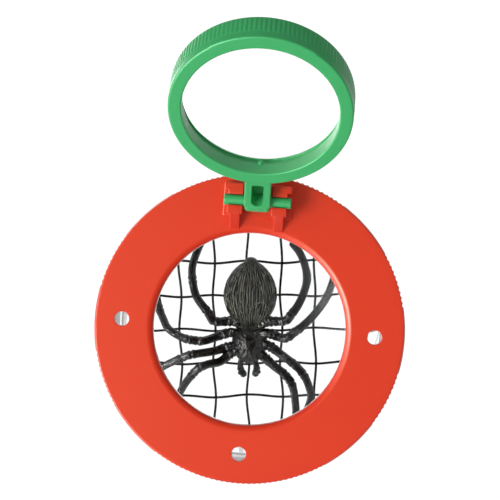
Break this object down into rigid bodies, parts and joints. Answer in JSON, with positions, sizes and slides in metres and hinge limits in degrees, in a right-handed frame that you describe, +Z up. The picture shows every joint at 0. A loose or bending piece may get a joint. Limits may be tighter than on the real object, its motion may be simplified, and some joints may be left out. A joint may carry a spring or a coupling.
{
  "type": "bug viewer jar",
  "caption": "Clear magnifying viewer jar with a push-on lid, a lens in its window and a second lens in a frame that flips up on snap-in pins.",
  "frame": {"origin": "middle of the jar's underside, on the surface it stands on", "axes": "+Z up the jar's axis, +Y towards the hinge of the flip-up frame, +X along the hinge pins to the right"},
  "size_m": [0.065, 0.0939, 0.1022],
  "materials": {
    "clear_jar": "clear moulded plastic, glossy",
    "black_grid": "thin black moulded strands",
    "spider_rubber": "soft plastic, satin with glossy ridges",
    "lid_red": "moulded plastic, satin",
    "lens_clear": "polished clear plastic",
    "frame_green": "moulded plastic, satin"
  },
  "bodies": {
    "jar": {"jar_body": "clear_jar", "floor_grid": "black_grid"},
    "spider": {"toy_spider": "spider_rubber"},
    "lid": {"lid_cap": "lid_red", "lid_lens": "lens_clear"},
    "frame": {"flip_frame": "frame_green", "flip_lens": "lens_clear"}
  },
  "joints": [
    {"name": "lid_lift", "type": "slide", "parent": "jar", "child": "lid", "axis": [0, 0, 1], "range_m": [0, 0.011]},
    {"name": "frame_flip", "type": "hinge", "parent": "lid", "child": "frame", "pos_m": [0, 0.02679, 0.06855], "axis": [1, 0, 0], "range_deg": [0, 138]},
    {"name": "spider_turn", "type": "hinge", "parent": "jar", "child": "spider", "pos_m": [-0.0017, -0.0037, 0.0027], "axis": [0, 0, 1], "continuous": true}
  ]
}
